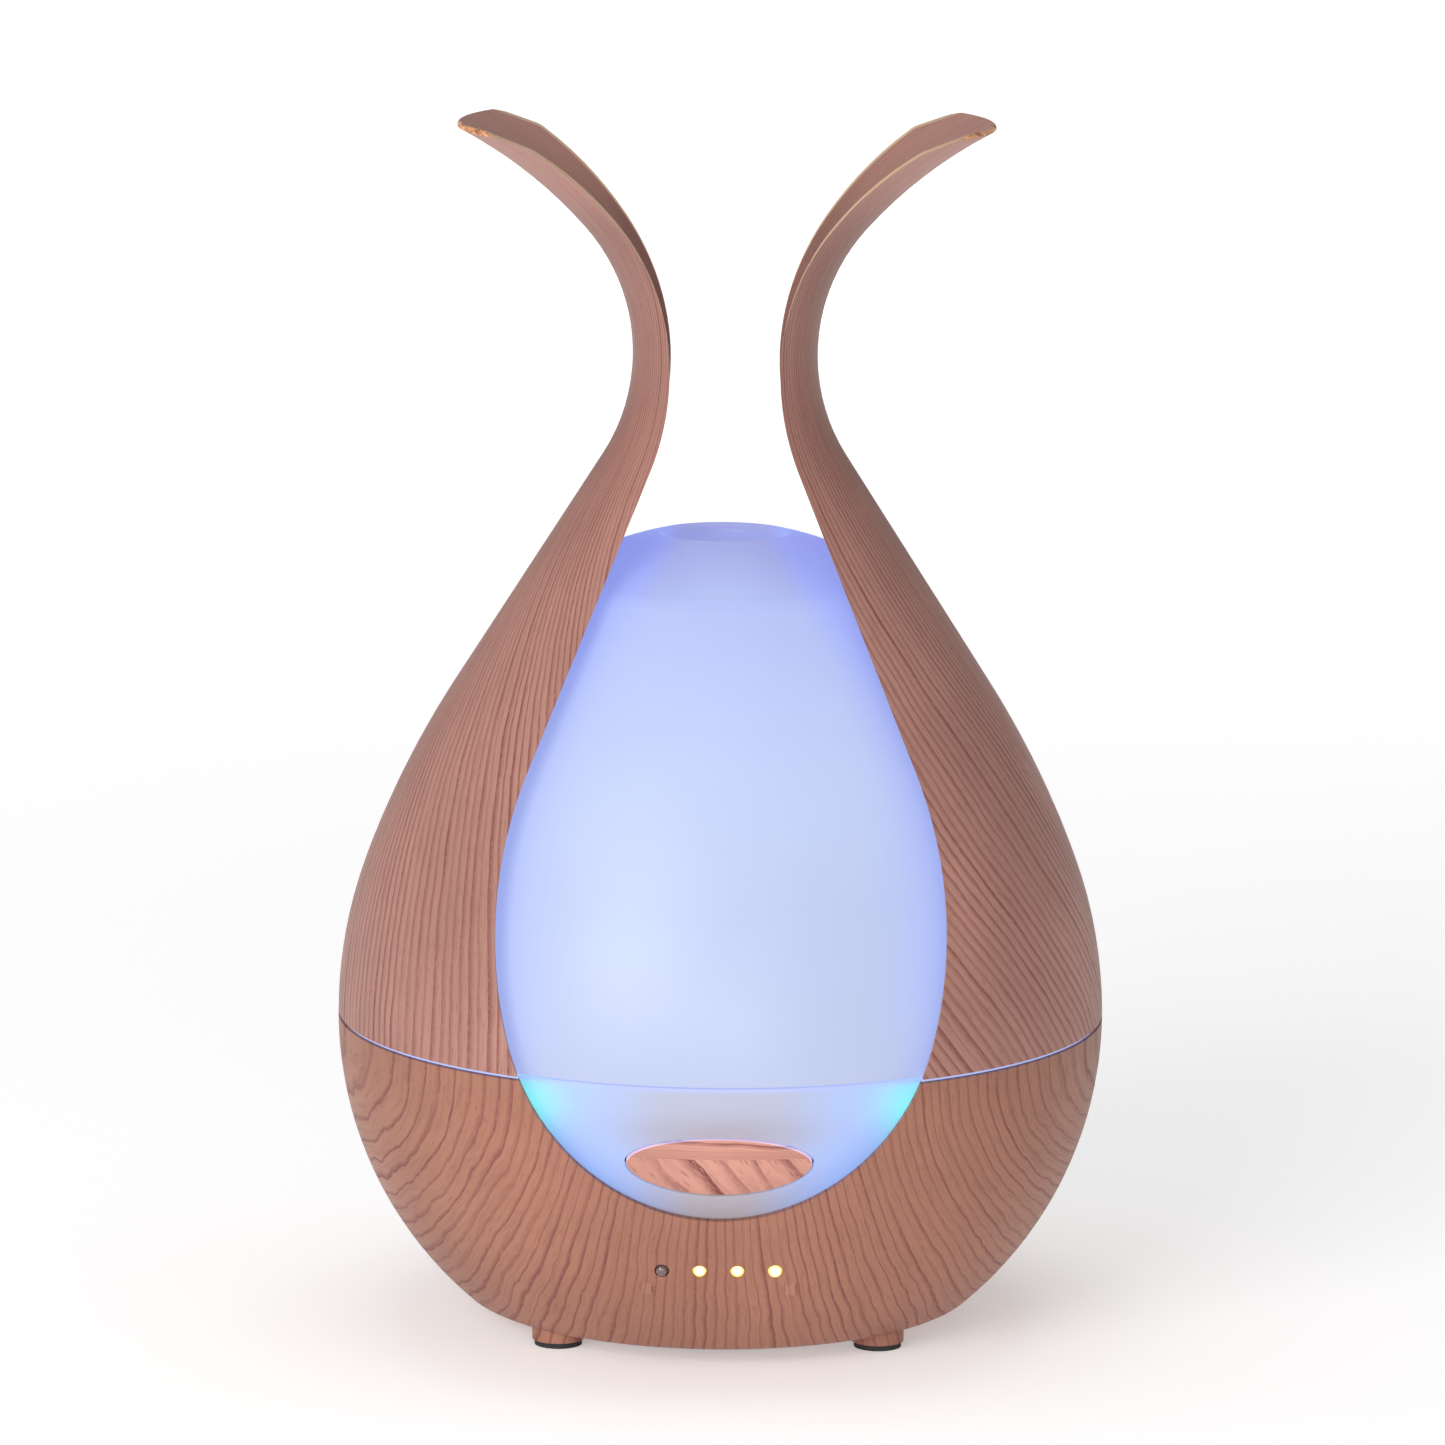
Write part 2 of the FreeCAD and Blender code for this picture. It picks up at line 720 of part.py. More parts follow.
# ------------------------------------------------------------------------------------------------
# Indicator lights
# ------------------------------------------------------------------------------------------------
def indicators():
    board = block("indicator_board_plate", 36.0, d.board_thickness, 8.0, (0, -59.3, 20.0))
    chip = block("indicator_board_chip", 4.0, 1.0, 3.0, (9.0, -58.0, 22.0))
    node("indicator_board", fuse("indicator_board", board, chip))
    for count, x in enumerate(indicator_places(), start=1):
        name = f"indicator_led_{count}"
        front = -bowl_radius_at(size(1.9), d.indicator_height)
        lens = cylinder(f"{name}_lens", 1.45, -60.1 - front, (x, front, d.indicator_height), "Y")
        tip = ball(f"{name}_tip", 1.45, (x, front, d.indicator_height))
        collar = cylinder(f"{name}_collar", 1.8, 1.0, (x, -61.1, d.indicator_height), "Y")
        node(name, fuse(name, lens, tip, collar))


# ------------------------------------------------------------------------------------------------
# Water tank and the ultrasonic disc
# ------------------------------------------------------------------------------------------------
def water_tank():
    outer = d.tank_radius + d.tank_wall
    floor_top = d.tank_floor + d.tank_wall
    bend = d.tank_bend
    collar_low = d.tank_rim - d.tank_collar
    corners = polygon(
        (0, d.tank_floor),
        (outer, d.tank_floor),
        (outer, collar_low),
        (d.tank_radius, collar_low),
        (d.tank_radius, floor_top + bend),
        (d.tank_radius - bend, floor_top),
        (0, floor_top),
    )
    corners[4][2] = -bend
    collar = polygon(
        (d.tank_radius, collar_low),
        (d.lip_radius, collar_low),
        (d.lip_radius, d.tank_rim + d.lip_height),
        (d.lip_radius - d.tank_wall, d.tank_rim + d.lip_height),
        (d.lip_radius - d.tank_wall, d.tank_rim),
        (d.tank_radius, d.tank_rim),
    )
    node("tank_collar", turned("tank_collar", collar))
    bowl = turned("tank_bowl", corners)
    seat = cylinder("disc_seat", 17.5, 4.0, (0, d.disc_y, d.tank_floor - 4.0))
    bosses = copies(
        "tank_bosses",
        lambda name, at: cylinder(name, d.post_radius, d.tank_floor - d.post_top, at),
        foot_places(d.post_top),
    )
    pads = []
    for count, angle in enumerate(light_angles(), start=1):
        pad = block(f"light_pad_block_{count}", 10.0, 2.0, 8.0, (0, -outer, 45.0))
        pads.append(swing(carried(f"light_pad_{count}", pad), angle))
    solid = fuse("tank_solid", bowl, seat, bosses, *pads)
    air_hole = cylinder("air_hole", d.air_tube_radius, 40.0, (0, d.fan_y, d.tank_floor - 2.0))
    disc_hole = cylinder("disc_hole", d.disc_opening, 10.0, (0, d.disc_y, d.tank_floor - 2.0))
    seat_hole = cylinder("seat_hole", 13.0, 4.0, (0, d.disc_y, d.tank_floor - 4.0))
    boss_holes = copies(
        "boss_holes",
        lambda name, at: cylinder(name, 1.5, 6.5, at),
        foot_places(d.post_top),
    )
    clamp_holes = copies(
        "clamp_holes",
        lambda name, at: cylinder(name, 1.0, 3.5, at),
        clamp_screw_places(d.tank_floor - 4.0),
    )
    node(
        "water_tank",
        cut("water_tank", solid, air_hole, disc_hole, seat_hole, boss_holes, clamp_holes),
    )
    rise = d.air_tube_top - floor_top
    pipe = tube("air_pipe", d.air_tube_radius + 2.0, d.air_tube_radius, rise, (0, d.fan_y, floor_top))
    node("air_tube", pipe)


def light_angles():
    return [-d.light_azimuth, d.light_azimuth, 180 - d.light_azimuth, 180 + d.light_azimuth]


def clamp_screw_places(height):
    places = []
    for angle in (30.0, 150.0, 270.0):
        turn = size(angle)
        x = d.clamp_screw_circle * cosine(turn)
        places.append((x, d.disc_y + d.clamp_screw_circle * sine(turn), height))
    return places


def ultrasonic_disc():
    low = d.tank_floor - 3.2
    hole = d.disc_opening
    seal = polygon(
        (hole, low),
        (12.9, low),
        (12.9, d.tank_floor),
        (hole, d.tank_floor),
        (hole, low + 2.0),
        (d.disc_radius, low + 2.0),
        (d.disc_radius, low + 0.8),
        (hole, low + 0.8),
    )
    seal_body = turned("transducer_seal_ring", seal)
    seal_copy = fuse("transducer_seal", seal_body, tube("seal_bead", 9.2, hole, 0.8, (0, 0, low)))
    node("transducer_seal", put(seal_copy, (0, d.disc_y, 0)))
    disc = cylinder("disc_plate", d.disc_radius, 0.8, (0, d.disc_y, low + 0.8))
    contact = cylinder("disc_contact", 6.0, 0.4, (0, d.disc_y, low + 1.6))
    node("transducer_disc", fuse("transducer_disc", disc, contact))
    clamp = tube("clamp_plate", 16.8, 7.0, 0.8, (0, d.disc_y, low - 1.6))
    spigot = tube("clamp_spigot", 12.8, 10.5, 0.8, (0, d.disc_y, low - 0.8))
    plate = fuse("clamp_solid", clamp, spigot)
    holes = copies(
        "clamp_plate_holes",
        lambda name, at: cylinder(name, 1.2, 4.0, at),
        clamp_screw_places(22.0),
    )
    node("transducer_clamp", cut("transducer_clamp", plate, holes))
    node("transducer_screws", copies("transducer_screws", clamp_screw, clamp_screw_places(low - 1.6)))


def clamp_screw(name, at):
    x, y, z = at
    head = cylinder(f"{name}_head", 1.7, 1.2, (x, y, z - 1.2))
    return fuse(name, head, cylinder(f"{name}_shank", 1.0, 4.0, at))


# ------------------------------------------------------------------------------------------------
# Inner lights
# ------------------------------------------------------------------------------------------------
def inner_lights():
    for count, angle in enumerate(light_angles(), start=1):
        name = f"light_board_{count}"
        plate = block(f"{name}_plate", 16.0, 1.2, 10.0, (0, -59.6, 44.0))
        resistor = block(f"{name}_resistor", 2.0, 0.6, 1.2, (-5.5, -60.5, 48.4))
        node(name, swing(fuse(name, plate, resistor), angle))
        name = f"light_led_{count}"
        chip = block(f"{name}_chip", 5.0, 1.2, 5.0, (0, -60.8, 46.5))
        lens = cylinder(f"{name}_lens", 1.9, 0.4, (0, -61.8, 49.0), "Y")
        node(name, swing(fuse(name, chip, lens), angle))


# ------------------------------------------------------------------------------------------------
# Fan and air duct
# ------------------------------------------------------------------------------------------------
def fan():
    top = d.fan_low + d.fan_height
    frame = block("fan_frame", d.fan_size, d.fan_size, d.fan_height, (0, d.fan_y, d.fan_low))
    bore = cylinder("fan_bore_hole", d.fan_bore, d.fan_height, (0, d.fan_y, d.fan_low))
    screw = d.fan_screw
    corners = [(screw * sx, d.fan_y + screw * sy, d.fan_low) for sx, sy in FOOT_SIGNS]
    holes = copies("fan_holes", lambda name, at: cylinder(name, 1.6, d.fan_height, at), corners)
    hub = cylinder("fan_seat", 9.0, 1.4, (0, d.fan_y, d.fan_low))
    struts = []
    for count, angle in enumerate((35.0, 155.0, 275.0), start=1):
        strut = block(f"fan_strut_{count}", 20.0, 2.0, 1.4, (12.5, 0, d.fan_low))
        fixed = carried(f"fan_strut_turned_{count}", strut)
        struts.append(swing(fixed, angle))
        struts[-1].setExpression("Placement.Base.y", d.fan_y.text)
    inside = cylinder("fan_bore_limit", 19.0, 1.4, (0, d.fan_y, d.fan_low))
    spider = common("fan_spider", inside, fuse("fan_struts", hub, *struts))
    node("fan_housing", fuse("fan_housing", cut("fan_walls", frame, bore, holes), spider))
    bearing = d.shaft_radius + d.shaft_clearance
    node("fan_motor", tube("fan_motor", 5.0, bearing, 4.0, (0, d.fan_y, d.fan_low + 1.4)))

    cap_low = d.fan_low + 2.0
    cap = cut(
        "impeller_cap",
        cylinder("cap_outside", 8.5, top - 0.6 - cap_low, (0, d.fan_y, cap_low)),
        cylinder("cap_inside", 7.3, 4.2, (0, d.fan_y, cap_low)),
        cylinder("cap_eye", d.shaft_radius, 12.0, (0, d.fan_y, cap_low)),
    )
    blades = []
    for count in range(BLADES):
        blade = block(f"blade_{count}_plate", 11.0, 1.0, 12.0, (13.0, 0, -6.0))
        pitched = carried(f"blade_{count}_pitched", blade)
        pitched.Placement = FreeCAD.Placement(Vector(0, 0, 0), Rotation(Vector(1, 0, 0), 40))
        turned_blade = swing(carried(f"blade_{count}", pitched), count * 360.0 / BLADES)
        turned_blade.setExpression("Placement.Base.y", d.fan_y.text)
        turned_blade.setExpression("Placement.Base.z", (cap_low + 3.0).text)
        blades.append(turned_blade)
    sweep = tube("blade_limit", d.fan_tip, 7.9, 5.2, (0, d.fan_y, cap_low + 0.5))
    trimmed = common("blades_trimmed", sweep, fuse("blades", *blades))
    node("fan_impeller", fuse("fan_impeller", cap, trimmed))
    shaft_low = d.fan_low + 1.6
    shaft = cylinder("shaft_rod", d.shaft_radius, top - 1.0 - shaft_low, (0, d.fan_y, shaft_low))
    node("fan_shaft", shaft)
    places = [(screw, d.fan_y - screw), (-screw, d.fan_y - screw)]
    node("fan_screws", copies("fan_screws", fan_screw, places))


def fan_screw(name, at):
    x, y = at
    top = d.fan_low + d.fan_height + 1.5
    head = cylinder(f"{name}_head", 2.6, 1.6, (x, y, top))
    return fuse(name, head, cylinder(f"{name}_shank", 1.4, top - 3.9, (x, y, 3.9)))


def air_duct():
    low = d.fan_low + d.fan_height
    end = d.tank_floor - 1.0
    flange = block("duct_flange", d.fan_size, d.fan_size, 1.5, (0, d.fan_y, low))
    funnel = cone("duct_funnel", 19.4, 9.8, 9.0, (0, d.fan_y, low + 0.5))
    pipe = cylinder("duct_pipe", 9.8, end - low - 9.5, (0, d.fan_y, low + 9.5))
    solid = fuse("duct_solid", flange, funnel, pipe)
    hollow = fuse(
        "duct_hollow",
        cone("duct_funnel_hollow", 18.0, d.air_tube_radius, 9.5, (0, d.fan_y, low)),
        cylinder("duct_pipe_hollow", d.air_tube_radius, 12.0, (0, d.fan_y, low + 9.0)),
    )
    holes = copies(
        "duct_holes",
        lambda name, x: cylinder(name, 1.6, 3.0, (x, d.fan_y - d.fan_screw, low - 1.0)),
        [-d.fan_screw, d.fan_screw],
    )
    node("air_duct", cut("air_duct", solid, hollow, holes))
    node("duct_seal", tube("duct_seal", 10.4, d.air_tube_radius + 0.4, 1.0, (0, d.fan_y, end)))


# ------------------------------------------------------------------------------------------------
# Bottom cover, its screws, the base screws and the rubber feet
# ------------------------------------------------------------------------------------------------
def bottom_cover():
    low = d.cover_plate_low
    top = low + d.cover_plate_thickness
    plate = cylinder("bottom_plate", d.cover_plate_radius, d.cover_plate_thickness, (0, 0, low))
    board_posts = copies(
        "board_posts",
        lambda name, x: cylinder(name, 3.0, d.driver_low - top, (x, d.driver_y, top)),
        [-d.driver_post, d.driver_post],
    )
    fan_posts = copies(
        "fan_posts",
        lambda name, x: cylinder(name, 3.0, d.fan_low - top, (x, d.fan_y - d.fan_screw, top)),
        [-d.fan_screw, d.fan_screw],
    )
    solid = fuse("bottom_solid", plate, board_posts, fan_posts)
    slots = copies("intake_slots", intake_slot, range(-3, 4))
    screw_holes = copies(
        "bottom_screw_holes",
        lambda name, at: cylinder(name, 1.4, 6.0, at),
        bottom_screw_places(0),
    )
    screw_seats = copies(
        "bottom_screw_seats",
        lambda name, at: cylinder(name, 2.8, 1.2, at),
        bottom_screw_places(low),
    )
    board_holes = copies(
        "board_post_holes",
        lambda name, x: cylinder(name, 1.1, 5.0, (x, d.driver_y, 4.5)),
        [-d.driver_post, d.driver_post],
    )
    fan_post_holes = copies(
        "fan_post_holes",
        lambda name, x: cylinder(name, 1.4, 4.0, (x, d.fan_y - d.fan_screw, top)),
        [-d.fan_screw, d.fan_screw],
    )
    node(
        "bottom_cover",
        cut("bottom_cover", solid, slots, screw_holes, screw_seats, board_holes, fan_post_holes),
    )


def intake_slot(name, step):
    """One of the parallel slots that together fill a circle under the fan."""
    reach = 15.5
    pitch = 4.4
    length = 2 * math.sqrt(reach**2 - (step * pitch) ** 2)
    return block(name, length, 2.2, 6.0, (0, d.fan_y + step * pitch, 0))


def countersunk_screw(name, at):
    x, y, z = at
    head = cylinder(f"{name}_head", 2.6, 1.1, (x, y, z + 0.1))
    slot = block(f"{name}_slot", 3.4, 0.6, 0.6, (x, y, z))
    shank = cylinder(f"{name}_shank", 1.2, 5.0, (x, y, z + 1.2))
    return fuse(name, cut(f"{name}_driven", head, slot), shank)


def long_screw(name, at):
    x, y, _ = at
    head = cylinder(f"{name}_head", 2.9, 2.2, (x, y, 2.8))
    return fuse(name, head, cylinder(f"{name}_shank", 1.5, 21.0, (x, y, 5.0)))


def rubber_foot(name, at):
    x, y, _ = at
    pad = cylinder(f"{name}_pad", d.rubber_radius, d.foot_boss_bottom, (x, y, 0))
    stem = cylinder(f"{name}_stem", 3.1, 1.3, (x, y, d.foot_boss_bottom))
    return fuse(name, pad, stem)


def fasteners_and_feet():
    node("bottom_screws", copies("bottom_screws", countersunk_screw, bottom_screw_places(d.cover_plate_low)))
    node("base_screws", copies("base_screws", long_screw, foot_places(0)))
    node("rubber_feet", copies("rubber_feet", rubber_foot, foot_places(0)))


# ------------------------------------------------------------------------------------------------
# Driver board
# ------------------------------------------------------------------------------------------------
def driver_board():
    low = d.driver_low
    top = low + d.board_thickness
    sides = [-d.driver_post, d.driver_post]
    plate = block("driver_plate", 50.0, 26.0, d.board_thickness, (0, d.driver_y, low))
    holes = copies(
        "driver_holes",
        lambda name, x: cylinder(name, 1.3, 4.0, (x, d.driver_y, low - 1.0)),
        sides,
    )
    chip = block("driver_chip", 7.0, 7.0, 1.2, (-12.0, -29.0, top))
    plug = block("driver_plug", 8.0, 4.0, 4.0, (16.0, -30.5, top))
    node("driver_board", fuse("driver_board", cut("driver_drilled", plate, holes), chip, plug))
    node("board_screws", copies("board_screws", board_screw, sides))
    node("power_transistor", block("power_transistor", 10.0, 3.0, 8.0, (7.0, -12.0, top)))
    base = block("sink_base", 14.0, 2.0, 9.0, (7.0, -14.5, top))
    fins = copies(
        "sink_fins",
        lambda name, x: block(name, 1.0, 4.0, 9.0, (7.0 + x, -17.5, top)),
        [-6.5, -3.25, 0, 3.25, 6.5],
    )
    node("heat_sink", fuse("heat_sink", base, fins))
    node("inductor_coil", ring("inductor_coil", 4.2, 1.9, (-9.0, -15.5, top + 1.9)))
    node(
        "capacitors",
        copies(
            "capacitors",
            lambda name, x: cylinder(name, 3.1, 8.0, (x, -28.5, top)),
            [-2.0, 6.0],
        ),
    )


def board_screw(name, x):
    top = d.driver_low + d.board_thickness
    head = cylinder(f"{name}_head", 2.4, 1.4, (x, d.driver_y, top))
    return fuse(name, head, cylinder(f"{name}_shank", 1.1, top - 5.0, (x, d.driver_y, 5.0)))


# ------------------------------------------------------------------------------------------------
# Power inlet at the back
# ------------------------------------------------------------------------------------------------
def power_inlet():
    low = d.jack_height - 4.5
    under = low - d.board_thickness
    board = block("power_board_plate", 14.0, 16.0, d.board_thickness, (0, 52.0, under))
    chip = block("power_board_chip", 5.0, 2.5, 2.0, (0, 48.0, low))
    node("power_board", fuse("power_board", board, chip))
    body = block("jack_body", 9.0, 11.0, 9.0, (0, 56.5, low))
    barrel = cylinder("jack_barrel", 5.5, 6.5, (0, 61.5, d.jack_height), "Y")
    bore = cylinder("jack_bore", 2.9, 12.0, (0, 57.0, d.jack_height), "Y")
    node("dc_jack", cut("dc_jack", fuse("jack_solid", body, barrel), bore))
    pin = cylinder("jack_pin_rod", d.jack_pin_radius, 9.0, (0, 57.0, d.jack_height), "Y")
    tip = ball("jack_pin_tip", d.jack_pin_radius, (0, 66.0, d.jack_height))
    node("dc_jack_pin", fuse("dc_jack_pin", pin, tip))


# ------------------------------------------------------------------------------------------------
# Splash cover with its chimney
# ------------------------------------------------------------------------------------------------
def splash_cover():
    low = d.tank_rim + d.joint_gap
    inside = d.chimney_radius
    outside = inside + 2.0
    shoulder = low + 9.0
    corners = polygon(
        (inside, low - 5.0),
        (outside, low - 5.0),
        (outside, shoulder - 2.0),
        (d.splash_radius - 9.0, low),
        (d.splash_radius, low),
        (d.splash_radius, low + 2.0),
        (d.splash_radius - 9.0, low + 2.0),
        (outside, shoulder),
        (outside, d.chimney_top - 1.0),
        (outside - 1.0, d.chimney_top),
        (inside, d.chimney_top),
    )
    corners[8][2] = size(1.0)
    body = turned("splash_turned", corners)
    tab = block("splash_tab", 16.0, 2.0, 14.0, (0, -40.0, low + 3.0))
    node("splash_cover", fuse("splash_cover", body, tab))


# ------------------------------------------------------------------------------------------------
# Diffuser cover and the two petals
# ------------------------------------------------------------------------------------------------
def diffuser_cover():
    outer = cover_path(d.white_inset)
    inner = cover_path(d.white_inset + d.white_wall)
    rim_x, rim_z, _ = outer[-1]
    collar_low = rim_z - d.mouth_depth
    outer[-1][2] = d.white_wall
    mouth = [
        [d.mouth_radius, rim_z - 1.7, None],
        [d.mouth_radius, collar_low, None],
        [rim_x, collar_low, None],
    ]
    shell = turned("cover_shell", outer + mouth + backwards(inner))
    foot = d.seam_height + d.joint_gap
    flange = tube("cover_flange", d.flange_radius, d.belly_radius - 5.5, d.flange_height, (0, 0, foot))
    bosses = []
    for count, (start, end, height) in enumerate(PETAL_SCREWS, start=1):
        for side in (-1, 1):
            low = start - 10.0
            at = (low if side > 0 else -end, 0, height)
            bosses.append(cylinder(f"petal_boss_{count}_{side + 1}", 3.4, end - low, at, "X"))
    bed_outline = shoulder_path(d.shell_wall, d.seam_height, d.slope_length).corners
    bed = turned("petal_bed", polygon((0, d.seam_height)) + bed_outline + polygon((0, 190)))
    under = polygon((0, foot - 1))
    hollow = turned("cover_hollow", under + inner[:-1] + polygon((0, inner[-1][1])))
    trimmed = cut("petal_bosses", common("bosses_bedded", bed, fuse("bosses", *bosses)), hollow)
    solid = fuse("cover_solid", shell, cut("flange_cut", flange, leaf), trimmed)
    holes = petal_screw_holes("cover_screw_holes", 1.3)
    node("diffuser_cover", cut("diffuser_cover", solid, holes))


def petal_screw_holes(name, radius):
    rods = []
    for count, (start, end, height) in enumerate(PETAL_SCREWS, start=1):
        for side in (-1, 1):
            at = (start if side > 0 else -end, 0, height)
            rods.append(cylinder(f"{name}_{count}_{side + 1}", radius, end - start, at, "X"))
    return fuse(name, *rods)


def petals():
    outer = upper_path(size(0), d.flare_radius, d.flare_turn)
    outer[-1][2] = d.rim_round
    inner = upper_path(d.shell_wall, d.flare_inner_radius, d.flare_inner_turn)
    wood = shell_between("petal_shell", outer, inner)
    opened = cut("petals_opened", wood, leaf)
    foot = d.seam_height + d.joint_gap + d.flange_height
    holes = petal_screw_holes("petal_screw_bores", 1.0)
    for name, side in (("left_petal", -1), ("right_petal", 1)):
        half = block(f"{name}_half", 90.0, 200.0, 200.0, (45.0 * side, 0, foot))
        node(name, cut(name, common(f"{name}_raw", opened, half), holes))
    heads = []
    for count, (start, _, height) in enumerate(PETAL_SCREWS, start=1):
        for side in (-1, 1):
            at = (start - 1.4 if side > 0 else -start, 0, height)
            heads.append(cylinder(f"petal_screw_head_{count}_{side + 1}", 2.2, 1.4, at, "X"))
    node("petal_screws", fuse("petal_screws", petal_screw_holes("petal_shanks", 1.0), *heads))


# ------------------------------------------------------------------------------------------------
# Leads inside the base
# ------------------------------------------------------------------------------------------------
def lead(name, radius, points):
    """A lead along straight runs with a bend at every inner point."""
    corners = [Vector(*point) for point in points]
    edges = []
    here = corners[0]
    for before, corner, after in zip(corners, corners[1:], corners[2:]):
        incoming = (corner - before).normalize()
        outgoing = (after - corner).normalize()
        turn = incoming.getAngle(outgoing)
        bend = 0.45 * min((corner - before).Length, (after - corner).Length) / math.tan(turn / 2)
        setback = bend * math.tan(turn / 2)
        start = corner - incoming * setback
        end = corner + outgoing * setback
        inward = (outgoing - incoming).normalize()
        middle = corner + inward * (bend / math.cos(turn / 2) - bend)
        edges += [Part.LineSegment(here, start).toShape(), Part.Arc(start, middle, end).toShape()]
        here = end
    edges.append(Part.LineSegment(here, corners[-1]).toShape())
    wire = Part.Wire(edges)
    ahead = (corners[1] - corners[0]).normalize()
    section = Part.Wire([Part.Circle(corners[0], ahead, radius).toShape()])
    thing = doc.addObject("Part::Feature", name)
    thing.Shape = wire.makePipeShell([section], True, False)
    node(name, thing)


def leads():
    from_jack = [(-4, 46, 15.6), (-17, 44.5, 12), (-25, 37, 9.5)]
    past_fan = [(-26.5, 22, 9.5), (-27, 2, 10), (-25.5, -12, 12.4), (-20, -15, 12.6)]
    lead("power_lead", 1.1, from_jack + past_fan)
    lead("fan_lead", 0.8, [(20.9, 10, 9), (26, 2, 9.5), (25.6, -10, 12.5), (21, -15, 12.8)])
    from_disc = [(0, -16, 22.6), (0, -20, 20.6), (2, -25, 19.8)]
    lead("transducer_lead", 0.8, from_disc + [(12, -31, 19.6), (15.5, -31, 15.6)])


base_shell()
lower_diffuser()
control_button()
button_bracket()
button_board()
indicators()
water_tank()
ultrasonic_disc()
inner_lights()
fan()
air_duct()
bottom_cover()
fasteners_and_feet()
driver_board()
power_inlet()
splash_cover()
diffuser_cover()
petals()
leads()

# ------------------------------------------------------------------------------------------------
# Checks and export
# ------------------------------------------------------------------------------------------------
doc.recompute()
for thing in doc.Objects:
    if "Invalid" in thing.State or "Error" in thing.State:
        raise RuntimeError(f"{thing.Name} failed: {thing.State}")
for name, thing in nodes.items():
    if thing.Shape.isNull() or not thing.Shape.isValid() or not thing.Shape.Solids:
        raise RuntimeError(f"{name} is not a valid solid")

os.makedirs("parts", exist_ok=True)
for name, thing in nodes.items():
    thing.Shape.exportStep(f"parts/{name}.step")
print(len(nodes), "nodes written")
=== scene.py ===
import math

import bpy
from mathutils import Matrix, Vector


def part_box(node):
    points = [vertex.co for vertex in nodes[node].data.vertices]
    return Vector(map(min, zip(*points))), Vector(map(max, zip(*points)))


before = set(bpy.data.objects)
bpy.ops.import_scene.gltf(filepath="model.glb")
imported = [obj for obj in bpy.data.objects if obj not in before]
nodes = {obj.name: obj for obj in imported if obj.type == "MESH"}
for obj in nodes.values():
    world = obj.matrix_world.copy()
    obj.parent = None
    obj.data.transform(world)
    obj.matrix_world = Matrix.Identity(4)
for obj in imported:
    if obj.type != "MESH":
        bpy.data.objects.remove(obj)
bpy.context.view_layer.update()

# ------------------------------------------------------------------------------------------------
# Places on the object that the looks follow, in millimetres in the row frame
# ------------------------------------------------------------------------------------------------
MILLIMETRES = 1000.0
SEAM = 64.0
RIM = 246.0
BUTTON_HALF_WIDTH = 18.65
BUTTON_HALF_HEIGHT = 5.95
BUTTON_MIDDLE = 47.0
PANEL_TOP = 63.3
INNER_LIGHT_X = 38.5
INNER_LIGHT_Z = 58.0
INNER_LIGHT_SPREAD = 6.5
BLACK = (0.0, 0.0, 0.0, 1.0)
STAGE_TARGET = (0.0, 0.0, 0.12)


# ------------------------------------------------------------------------------------------------
# Material nodes with arithmetic
# ------------------------------------------------------------------------------------------------


class Number:
    """A value or colour in a material's node tree."""

    def __init__(self, look, socket):
        self.look = look
        self.socket = socket

    def __add__(self, other):
        return self.look.math("ADD", self, other)

    def __sub__(self, other):
        return self.look.math("SUBTRACT", self, other)

    def __mul__(self, other):
        return self.look.math("MULTIPLY", self, other)

    def __truediv__(self, other):
        return self.look.math("DIVIDE", self, other)

    def __rsub__(self, other):
        return self.look.math("SUBTRACT", other, self)

    def __pow__(self, other):
        return self.look.math("POWER", self, other)

    def size(self):
        return self.look.math("ABSOLUTE", self)

    def rise(self, low, high):
        """0 below low, 1 above high, smooth between them."""
        return self.look.spread(self, low, high, 0.0, 1.0, "SMOOTHSTEP")

    def span(self, low, high):
        """A value from 0 to 1, spread from low to high."""
        return self.look.spread(self, 0.0, 1.0, low, high, "LINEAR")


